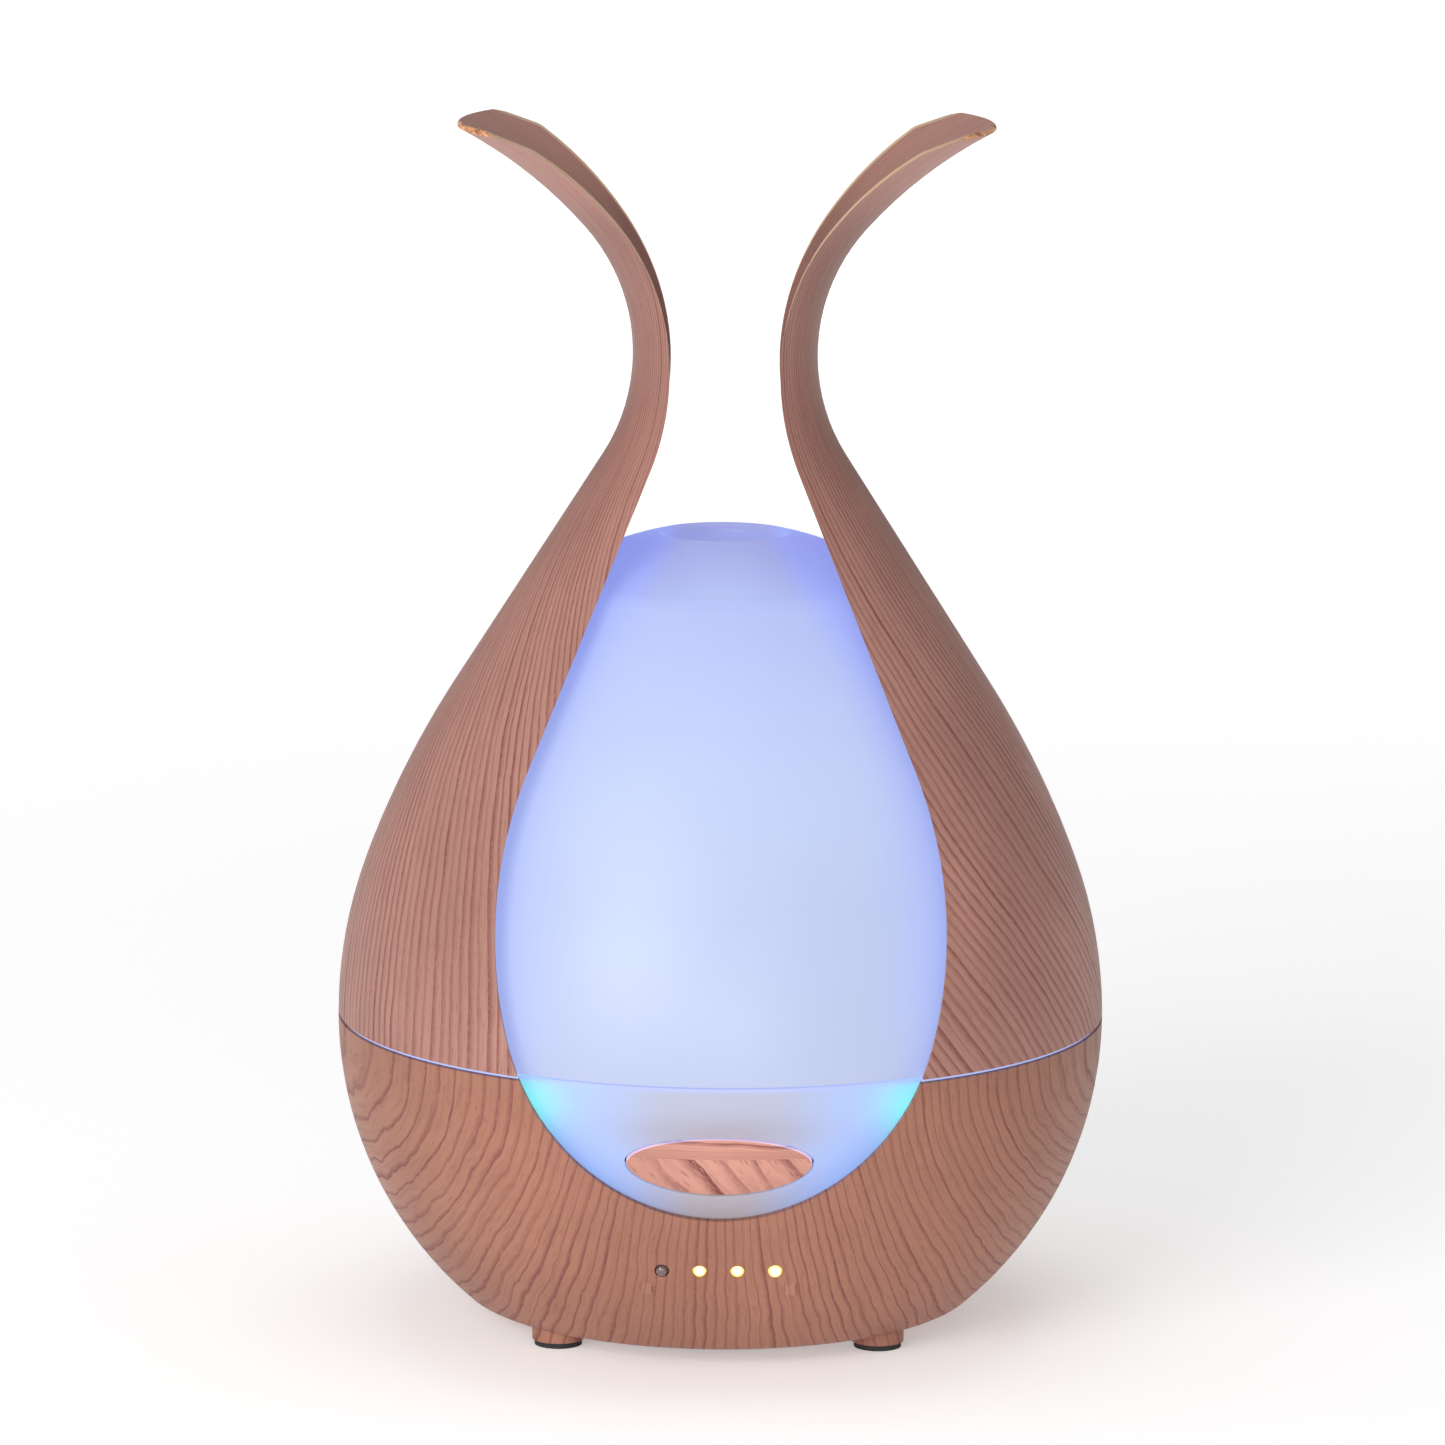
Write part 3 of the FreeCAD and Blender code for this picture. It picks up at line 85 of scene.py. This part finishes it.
class Look:
    """One procedural material."""

    def __init__(self, name, roughness, metallic=0.0, **sockets):
        self.material = bpy.data.materials.new(name)
        self.material.use_nodes = True
        self.tree = self.material.node_tree
        self.surface = self.tree.nodes["Principled BSDF"]
        self.surface.inputs["Roughness"].default_value = roughness
        self.surface.inputs["Metallic"].default_value = metallic
        for socket, value in sockets.items():
            self.surface.inputs[socket.replace("_", " ")].default_value = value
        scale = self.add("ShaderNodeVectorMath", operation="SCALE")
        scale.inputs["Scale"].default_value = MILLIMETRES
        self.feed(scale.inputs[0], self.add("ShaderNodeTexCoord").outputs["Object"])
        self.place = scale.outputs[0]
        parts = self.add("ShaderNodeSeparateXYZ")
        self.feed(parts.inputs[0], self.place)
        self.x, self.y, self.z = (Number(self, socket) for socket in parts.outputs)

    def add(self, kind, **settings):
        node = self.tree.nodes.new(kind)
        for name, value in settings.items():
            setattr(node, name, value)
        return node

    def feed(self, socket, value):
        if isinstance(value, Number):
            value = value.socket
        if isinstance(value, bpy.types.NodeSocket):
            self.tree.links.new(value, socket)
        else:
            socket.default_value = value

    def math(self, operation, *values):
        node = self.add("ShaderNodeMath", operation=operation)
        for socket, value in zip(node.inputs, values):
            self.feed(socket, value)
        return Number(self, node.outputs[0])

    def spread(self, value, low, high, new_low, new_high, kind):
        node = self.add("ShaderNodeMapRange", interpolation_type=kind)
        for socket, item in zip(node.inputs, (value, low, high, new_low, new_high)):
            self.feed(socket, item)
        return Number(self, node.outputs[0])

    def vector(self, x, y, z):
        node = self.add("ShaderNodeCombineXYZ")
        for socket, value in zip(node.inputs, (x, y, z)):
            self.feed(socket, value)
        return node.outputs[0]

    def noise(self, vector, scale, detail=2.0, harshness=0.5):
        node = self.add("ShaderNodeTexNoise")
        self.feed(node.inputs["Vector"], vector)
        node.inputs["Scale"].default_value = scale
        node.inputs["Detail"].default_value = detail
        node.inputs["Roughness"].default_value = harshness
        return Number(self, node.outputs[0])

    def chance(self, value):
        """A number from 0 to 1 that is the same for the same value."""
        node = self.add("ShaderNodeTexWhiteNoise", noise_dimensions="1D")
        self.feed(node.inputs["W"], value)
        return Number(self, node.outputs[0])

    def mix(self, share, first, second, blend="MIX"):
        node = self.add("ShaderNodeMix", data_type="RGBA", blend_type=blend)
        self.feed(node.inputs["Factor"], share)
        self.feed(node.inputs[6], first)
        self.feed(node.inputs[7], second)
        return Number(self, node.outputs[2])

    def ramp(self, value, *stops):
        """Colours at places from 0 to 1, smooth between them."""
        node = self.add("ShaderNodeValToRGB")
        node.color_ramp.interpolation = "B_SPLINE"
        elements = node.color_ramp.elements
        while len(elements) < len(stops):
            elements.new(0.5)
        for element, (position, colour) in zip(elements, stops):
            element.position = position
            element.color = colour
        self.feed(node.inputs[0], value)
        return Number(self, node.outputs[0])

    def colour(self, value):
        self.feed(self.surface.inputs["Base Color"], value)

    def rough(self, value):
        self.feed(self.surface.inputs["Roughness"], value)

    def glow(self, value, strength=1.0):
        self.feed(self.surface.inputs["Emission Color"], value)
        self.surface.inputs["Emission Strength"].default_value = strength

    def relief(self, height, depth):
        """Bump of that depth, in millimetres, where height goes from 0 to 1."""
        node = self.add("ShaderNodeBump")
        node.inputs["Distance"].default_value = depth / MILLIMETRES
        self.feed(node.inputs["Height"], height)
        self.feed(self.surface.inputs["Normal"], node.outputs[0])


def rgb(red, green, blue):
    return (red, green, blue, 1.0)


def spot(look, x, z, middle, width, height):
    """1 in the middle of an oval in front view, fading outwards to 0."""
    out = ((x - middle[0]) / width) ** 2.0 + ((z - middle[1]) / height) ** 2.0
    return look.math("EXPONENT", out * -1.0)


def shade(colour, factor):
    return rgb(*(min(1.0, part * factor) for part in colour[:3]))


def wear(node, look):
    """Gives a shown mesh this one material."""
    node.data.materials.clear()
    node.data.materials.append(look.material)


# ------------------------------------------------------------------------------------------------
# Wood grain
# ------------------------------------------------------------------------------------------------
BASE_WOOD = rgb(0.332, 0.146, 0.096)
PETAL_WOOD = rgb(0.385, 0.192, 0.153)
# the button's wood, paler than the petals' as painted light
BUTTON_WOOD_PAINTED_PALE = rgb(0.55, 0.265, 0.205)
WOOD_LINE = rgb(0.19, 0.056, 0.05)
WOOD_PORE = rgb(0.13, 0.04, 0.036)
END_GRAIN = rgb(0.64, 0.31, 0.15)
END_GRAIN_PALE = rgb(0.74, 0.52, 0.33)
END_GRAIN_DARK = rgb(0.36, 0.12, 0.06)


# how far noise bends the rings, and the lengths of its two waves in millimetres
BEND = 3.0
LONG_WAVE = 26.0
SHORT_WAVE = 5.0
ALONG_THE_TREE = 0.45


def azimuth(look):
    """Degrees round the vertical axis from the front, the same to the left and to the right."""
    return look.math("ARCTAN2", look.x.size(), look.y * -1.0) * (180.0 / math.pi)


def end_grain(look, body):
    """Paler end grain with slanting streaks where the shell is cut through or ends at the rim."""
    coordinates = look.add("ShaderNodeTexCoord")
    parts = look.add("ShaderNodeSeparateXYZ")
    look.feed(parts.inputs[0], coordinates.outputs["Normal"])
    across, along, up = (Number(look, socket) for socket in parts.outputs)
    reach = look.math("SQRT", look.x ** 2.0 + look.y ** 2.0)
    sideways = ((across * look.y - along * look.x) / reach).size()
    outward = (across * look.x + along * look.y) / reach
    sawn = sideways.rise(0.10, 0.22)
    rim = outward.rise(0.0, 0.2) * up.rise(-0.35, 0.0) * look.z.rise(RIM - 2.0, RIM)
    streak = look.noise(look.vector(look.x * 0.9 + look.z * 1.4, look.y * 0.25, 0.0), 0.8, 2.0)
    grain = look.mix(streak.rise(0.40, 0.50), END_GRAIN_DARK, END_GRAIN)
    grain = look.mix(streak.rise(0.55, 0.66), grain, END_GRAIN_PALE)
    pale = look.mix(streak * 0.4, END_GRAIN_PALE, END_GRAIN)
    body = look.mix(sawn * look.z.rise(196.0, 236.0).span(0.25, 0.95), body, pale)
    return look.mix(rim, body, grain)


def wood(name, rings, pale, wave, ripple, late_from=(0.12, 0.6), ends=False):
    """Wood whose growth rings are counted by rings(look); wave and ripple bend them.

    The dark late wood starts at a share of each ring between the two values of late_from.
    Pieces with ends are darker at the neck as painted shade, paler at the rim as painted light,
    and show end grain.
    """
    look = Look(name, 0.5, Specular_IOR_Level=0.28)
    stretched = look.vector(look.x, look.y, look.z * ALONG_THE_TREE)
    slow = look.noise(stretched, 1 / LONG_WAVE, 1.0) - 0.5
    quick = look.noise(stretched, 1 / SHORT_WAVE, 1.0) - 0.5
    count = rings(look) + slow * (BEND * wave) + quick * (BEND * ripple)
    ring = look.math("FLOOR", count)
    part = look.math("FRACT", count)
    width = look.chance(ring).span(*late_from)
    late = look.spread(part, width, 0.90, 0.0, 1.0, "SMOOTHSTEP") * (1.0 - part.rise(0.91, 1.0))
    dark = look.chance(ring * 1.37 + 5.0).span(0.5, 1.0)
    patch = look.noise(look.vector(ring * 3.7, look.z * 0.045, look.x * 0.02), 1.0, 1.0)
    fleck = look.noise(look.vector(count * 16.0, look.z * 0.9, look.x * 0.15), 1.0, 1.0)
    late = late * dark * patch.span(0.4, 1.6) * fleck.rise(0.28, 0.55).span(0.45, 1.0)
    fibre = look.noise(look.vector(count * 5.0, look.z * 0.11, 0.0), 1.0, 2.0, 0.6)
    pore = look.noise(look.vector(count * 12.0, look.z * 0.36, 7.0), 1.0, 1.0)
    pore = pore.rise(0.60, 0.72)
    tone = look.noise(look.place, 1 / 45, 2.0)
    body = look.mix(tone.rise(0.3, 0.7), shade(pale, 0.86), shade(pale, 1.06))
    body = look.mix(fibre.rise(0.42, 0.75) * 0.55, body, shade(pale, 0.68))
    body = look.mix(late, body, WOOD_LINE)
    body = look.mix(pore * 0.38, body, WOOD_PORE)
    if ends:
        # painted shade: darker from the neck up towards the horns
        neck = look.z.rise(165.0, 215.0) - look.z.rise(RIM - 24.0, RIM)
        body = look.mix(neck * 0.24, body, BLACK)
        # painted light: paler towards the rim
        body = look.mix(look.z.rise(RIM - 20.0, RIM) * 0.4, body, shade(pale, 1.3))
        body = end_grain(look, body)
    look.colour(body)
    look.rough((late * 0.12 + fibre * 0.14) + 0.40)
    look.relief(1.0 - late * 0.6 - pore * 0.4, 0.012)
    return look


def base_rings(look):
    """Upright lines in front that fan outwards below and spread towards the sides."""
    fan = look.math("SMOOTH_MAX", 52.0 - look.z, 0.0, 18.0) * 0.013 + 1.0
    side = look.x.rise(-6.0, 6.0) * 35.0 + 50.0
    return look.math("ARCTANGENT", look.x / fan / side) * side * 0.666


def left_rings(look):
    height = look.math("SMOOTH_MIN", (look.z - SEAM) / 89.0, 1.15, 0.3)
    return (azimuth(look) - height * height * 25.9) / 1.9


def right_rings(look):
    height = look.z - SEAM
    low = look.math("SMOOTH_MIN", height, 35.0, 20.0)
    high = look.math("SMOOTH_MIN", height, 105.0, 40.0)
    return (azimuth(look) + low * 0.25 + high * 0.36) / 2.1


def button_rings(look):
    """Level lines along the top, and broad streaks that fall to the right below them."""
    falling = (look.x * 1.15 + look.z) / 8.6
    level = look.z / 2.1
    top = look.z.rise(48.6, 50.6)
    return falling * (1.0 - top) + level * top


base_look = wood("wood_base", base_rings, BASE_WOOD, 0.6, 0.16, late_from=(0.42, 0.78))
wear(nodes["base_shell"], base_look)
wear(nodes["left_petal"], wood("wood_left", left_rings, PETAL_WOOD, 0.5, 0.11, ends=True))
wear(nodes["right_petal"], wood("wood_right", right_rings, PETAL_WOOD, 0.5, 0.11, ends=True))


BUTTON_GAP_LIGHT = rgb(0.24, 0.32, 0.62)


def button_wood():
    """The same wood, paler as painted light, with the light of the gap on its rim."""
    look = wood("wood_button", button_rings, BUTTON_WOOD_PAINTED_PALE, 0.5, 0.12, late_from=(0.3, 0.6))
    up = (look.z - BUTTON_MIDDLE) / BUTTON_HALF_HEIGHT
    out = (look.x / BUTTON_HALF_WIDTH) ** 2.0 + up ** 2.0
    rim = out.rise(0.975, 1.02)
    look.glow(look.mix(rim, BLACK, BUTTON_GAP_LIGHT))
    return look


wear(nodes["control_button"], button_wood())


# ------------------------------------------------------------------------------------------------
# White body, lit from inside
# ------------------------------------------------------------------------------------------------
COVER_LOW = 60.0
COVER_HIGH = 170.0
# the part of the cover that shows between the petals: half width up to a height, then narrower
WINDOW_HALF_WIDTH = 46.0
WINDOW_WIDEST = 98.0
WINDOW_NARROWING = 0.0076


def lit_cover():
    """Brightest low in the middle, bluer towards the dome and towards the wood at its sides."""
    look = Look("lit_cover", 0.42)
    cloud = look.noise(look.place, 1 / 30, 2.0)
    look.colour(look.mix(cloud, rgb(0.14, 0.16, 0.21), rgb(0.16, 0.18, 0.23)))
    height = (look.z - COVER_LOW) / (COVER_HIGH - COVER_LOW)
    body = look.ramp(
        height,
        (0.05, rgb(0.31, 0.345, 0.51)),
        (0.36, rgb(0.34, 0.40, 0.61)),
        (0.54, rgb(0.365, 0.432, 0.655)),
        (0.70, rgb(0.325, 0.395, 0.665)),
        (0.88, rgb(0.262, 0.318, 0.65)),
        (0.97, rgb(0.225, 0.235, 0.57)),
    )
    narrowing = look.math("MAXIMUM", look.z - WINDOW_WIDEST, 0.0) ** 2.0 * WINDOW_NARROWING
    out = look.x.size() / (WINDOW_HALF_WIDTH - narrowing)
    edge = out.rise(0.62, 1.04)
    rim = look.mix(height, rgb(0.30, 0.39, 0.81), rgb(0.21, 0.27, 0.79))
    body = look.mix(edge * 0.85, body, rim)
    look.glow(body)
    look.rough(cloud.span(0.36, 0.48))
    look.relief(look.noise(look.place, 2.2, 2.0), 0.01)
    return look


def lit_panel():
    """Greyish in the middle, blue at the sides, with a cyan spot where each inner light shines."""
    look = Look("lit_panel", 0.4)
    cloud = look.noise(look.place, 1 / 24, 2.0)
    look.colour(look.mix(cloud, rgb(0.15, 0.16, 0.20), rgb(0.17, 0.18, 0.22)))
    across = look.x.size()
    low = look.mix(across.rise(2.0, 26.0), rgb(0.29, 0.24, 0.25), rgb(0.22, 0.36, 0.78))
    high = look.mix(across.rise(8.0, 34.0), rgb(0.292, 0.307, 0.413), rgb(0.245, 0.395, 0.82))
    body = look.mix(look.z.rise(44.0, 62.0), low, high)
    shadow = spot(look, across, look.z, (0.0, 54.0), 17.0, 3.6)
    body = look.mix(shadow * 0.8, body, rgb(0.225, 0.165, 0.20))
    middle = (INNER_LIGHT_X, INNER_LIGHT_Z)
    shining = spot(look, across, look.z, middle, INNER_LIGHT_SPREAD, INNER_LIGHT_SPREAD)
    body = look.mix(shining, body, rgb(0.17, 0.80, 0.85))
    # painted highlight: a bright blue band along the panel's top edge at the seam
    body = look.mix(look.z.rise(PANEL_TOP - 1.0, PANEL_TOP) * 0.6, body, rgb(0.30, 0.36, 0.88))
    look.glow(body)
    look.rough(cloud.span(0.34, 0.46))
    look.relief(look.noise(look.place, 2.2, 2.0), 0.01)
    return look


wear(nodes["diffuser_cover"], lit_cover())
wear(nodes["lower_diffuser"], lit_panel())


# ------------------------------------------------------------------------------------------------
# Indicator lights
# ------------------------------------------------------------------------------------------------
def indicator(node, lit):
    low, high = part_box(node)
    middle = (low + high) / 2 * MILLIMETRES
    look = Look(f"{node}_lens", 0.18, Coat_Weight=0.6)
    out = look.math("SQRT", (look.x - middle.x) ** 2.0 + (look.z - middle.z) ** 2.0)
    swirl = look.noise(look.place, 0.9, 2.0)
    if lit:
        look.colour(look.mix(swirl, rgb(0.75, 0.62, 0.25), rgb(0.85, 0.75, 0.4)))
        core = look.mix(out.rise(0.6, 1.25), rgb(1.0, 0.97, 0.82), rgb(0.95, 0.72, 0.12))
        look.glow(look.mix(swirl.span(0.0, 0.25), core, rgb(0.9, 0.8, 0.4)))
    else:
        look.colour(look.mix(swirl, rgb(0.09, 0.06, 0.05), rgb(0.16, 0.11, 0.10)))
    look.relief(swirl, 0.05)
    wear(nodes[node], look)


# the first of the four lights is off
for number in (1, 2, 3, 4):
    indicator(f"indicator_led_{number}", lit=number > 1)


# ------------------------------------------------------------------------------------------------
# Everything else: plastics, rubber, metals and boards, one look for each slot of the record
# ------------------------------------------------------------------------------------------------
def moulded(name, colour, roughness, grain, depth, change=0.14, **sockets):
    look = Look(name, roughness, **sockets)
    cloud = look.noise(look.place, 1 / 14, 3.0)
    fine = look.noise(look.place, 1 / grain, 2.0, 0.6)
    look.colour(look.mix(cloud, shade(colour, 1 - change), shade(colour, 1 + change)))
    look.rough(fine.span(roughness - 0.08, roughness + 0.1))
    look.relief(fine, depth)
    return look


def brushed(name, colour, roughness, across):
    """Metal with fine lines; the noise is finer along an axis whose share in across is larger."""
    look = Look(name, roughness, metallic=1.0)
    x_share, y_share, z_share = across
    place = look.vector(look.x * x_share, look.y * y_share, look.z * z_share)
    lines = look.noise(place, 1.0, 3.0, 0.65)
    cloud = look.noise(look.place, 1 / 6, 2.0)
    look.colour(look.mix(cloud, shade(colour, 0.86), shade(colour, 1.08)))
    look.rough((lines * 0.22 + cloud * 0.1) + (roughness - 0.14))
    look.relief(lines, 0.01)
    return look


def circuit_board():
    look = Look("board", 0.35, Coat_Weight=0.3)
    lanes = look.math("PINGPONG", look.x + look.z * 0.35, 1.6)
    turns = look.noise(look.place, 1 / 7, 0.0).rise(0.48, 0.52)
    track = lanes.rise(0.5, 0.62) * turns
    cloud = look.noise(look.place, 1 / 10, 2.0)
    mask = look.mix(cloud, rgb(0.02, 0.16, 0.06), rgb(0.04, 0.24, 0.10))
    look.colour(look.mix(track * 0.6, mask, rgb(0.09, 0.36, 0.15)))
    look.rough(track.span(0.32, 0.42))
    look.relief(track, 0.04)
    return look


def winding():
    look = Look("copper_winding", 0.28, metallic=1.0)
    turns = look.math("SINE", look.z * (2 * math.pi / 0.6)) * 0.5 + 0.5
    cloud = look.noise(look.place, 0.5, 2.0)
    look.colour(look.mix(cloud, rgb(0.55, 0.20, 0.08), rgb(0.80, 0.36, 0.17)))
    look.rough(turns.span(0.24, 0.4))
    look.relief(turns, 0.25)
    return look


def sleeve():
    look = Look("capacitor_film", 0.3, Coat_Weight=0.4)
    cloud = look.noise(look.place, 1 / 3, 2.0)
    stripe = look.math("PINGPONG", look.x, 4.0).rise(3.3, 3.5)
    film = look.mix(cloud, rgb(0.02, 0.03, 0.08), rgb(0.05, 0.06, 0.13))
    look.colour(look.mix(stripe * 0.8, film, rgb(0.55, 0.56, 0.6)))
    look.rough(cloud.span(0.24, 0.36))
    look.relief(cloud, 0.02)
    return look


def clear_led():
    look = Look("inner_led", 0.15, Coat_Weight=0.5)
    cloud = look.noise(look.place, 0.6, 2.0)
    look.colour(look.mix(cloud, rgb(0.55, 0.66, 0.9), rgb(0.75, 0.82, 0.95)))
    look.glow(look.mix(cloud, rgb(0.12, 0.35, 1.0), rgb(0.3, 0.6, 1.0)), 2.0)
    look.relief(cloud, 0.02)
    return look


LOOKS = {
    "white_plastic": moulded("white_plastic_satin", rgb(0.74, 0.74, 0.72), 0.42, 0.5, 0.012, 0.05),
    "bottom_plastic": moulded("bottom_textured", rgb(0.045, 0.032, 0.028), 0.55, 0.35, 0.05),
    "black_plastic": moulded("black_textured", rgb(0.022, 0.022, 0.024), 0.5, 0.35, 0.04),
    "black_rubber": moulded("rubber_matt", rgb(0.018, 0.018, 0.018), 0.85, 0.5, 0.06, 0.3),
    "silicone": moulded("silicone_milky", rgb(0.42, 0.43, 0.45), 0.55, 0.9, 0.03, 0.08),
    "lead_sleeve": moulded("lead_insulation", rgb(0.32, 0.02, 0.02), 0.4, 0.8, 0.02, 0.2),
    "steel": brushed("steel_bright", rgb(0.58, 0.58, 0.60), 0.3, (1.0, 1.0, 6.0)),
    "aluminium_plate": brushed("aluminium_satin", rgb(0.72, 0.72, 0.74), 0.36, (0.4, 5.0, 5.0)),
    "disc_metal": brushed("disc_plated", rgb(0.66, 0.64, 0.60), 0.3, (3.0, 3.0, 1.0)),
    "circuit_board": circuit_board(),
    "copper_wire": winding(),
    "capacitor_sleeve": sleeve(),
    "led_yellow": clear_led(),
}

for node in nodes.values():
    slot = node.data.materials[0].name
    if slot in LOOKS:
        wear(node, LOOKS[slot])


# ------------------------------------------------------------------------------------------------
# Stage, light and camera
# ------------------------------------------------------------------------------------------------
CAMERA_PLACE = (0.0, -1.5, 0.3847)
CAMERA_TILT = 80.17
CAMERA_ROLL = 0.0075
FLOOR_REACH = 14.0
ROOM_LIGHT = 0.40
BACKDROP_LIGHT = 1.0


def aim(thing, place, target):
    thing.location = place
    thing.rotation_euler = (Vector(target) - Vector(place)).to_track_quat("-Z", "Y").to_euler()


def softbox(name, place, width, height, power, tint=(1.0, 1.0, 1.0)):
    light = bpy.data.lights.new(name, "AREA")
    light.shape = "RECTANGLE"
    light.size = width
    light.size_y = height
    light.energy = power
    light.color = tint
    lamp = bpy.data.objects.new(name, light)
    bpy.context.scene.collection.objects.link(lamp)
    aim(lamp, place, STAGE_TARGET)


def floor():
    reach = FLOOR_REACH
    mesh = bpy.data.meshes.new("floor")
    corners = [(-reach, -reach, 0), (reach, -reach, 0), (reach, reach, 0), (-reach, reach, 0)]
    mesh.from_pydata(corners, [], [(0, 1, 2, 3)])
    thing = bpy.data.objects.new("floor", mesh)
    bpy.context.scene.collection.objects.link(thing)
    look = Look("floor_paper", 0.8)
    cloud = look.noise(look.place, 1 / 900, 2.0)
    look.colour(look.mix(cloud, rgb(0.86, 0.86, 0.86), rgb(0.88, 0.88, 0.88)))
    away = look.math("SQRT", look.x ** 2.0 + look.y ** 2.0)
    # painted light: the floor glows, weaker near the object and stronger far from it, so that it
    # reads white
    look.glow(look.mix(away.rise(150.0, 2200.0), rgb(0.34, 0.34, 0.34), rgb(0.80, 0.80, 0.80)))
    wear(thing, look)


def studio():
    world = bpy.data.worlds.new("studio")
    bpy.context.scene.world = world
    world.use_nodes = True
    tree = world.node_tree
    tree.nodes.clear()
    output = tree.nodes.new("ShaderNodeOutputWorld")
    choose = tree.nodes.new("ShaderNodeMixShader")
    seen_by = tree.nodes.new("ShaderNodeLightPath")
    room = tree.nodes.new("ShaderNodeBackground")
    room.inputs["Strength"].default_value = ROOM_LIGHT
    backdrop = tree.nodes.new("ShaderNodeBackground")
    backdrop.inputs["Strength"].default_value = BACKDROP_LIGHT
    for background in (room, backdrop):
        background.inputs["Color"].default_value = rgb(1.0, 1.0, 1.0)
    tree.links.new(seen_by.outputs["Is Camera Ray"], choose.inputs[0])
    tree.links.new(room.outputs[0], choose.inputs[1])
    tree.links.new(backdrop.outputs[0], choose.inputs[2])
    tree.links.new(choose.outputs[0], output.inputs[0])


def camera():
    lens = bpy.data.cameras.new("camera")
    lens.lens = 182.0
    lens.sensor_width = 36.0
    lens.clip_start = 0.05
    lens.clip_end = 60.0
    thing = bpy.data.objects.new("camera", lens)
    bpy.context.scene.collection.objects.link(thing)
    tilt = Matrix.Rotation(math.radians(CAMERA_TILT), 4, "X")
    roll = Matrix.Rotation(CAMERA_ROLL, 4, "Z")
    thing.matrix_world = Matrix.Translation(CAMERA_PLACE) @ tilt @ roll
    bpy.context.scene.camera = thing


floor()
studio()
camera()
softbox("key", (-1.15, -1.95, 0.80), 1.4, 1.4, 38.0)
softbox("fill", (0.2, -2.1, 0.28), 0.9, 0.5, 10.0)
softbox("top", (0.0, 0.3, 2.2), 1.6, 1.6, 9.0)
bpy.context.scene.view_settings.view_transform = "Standard"
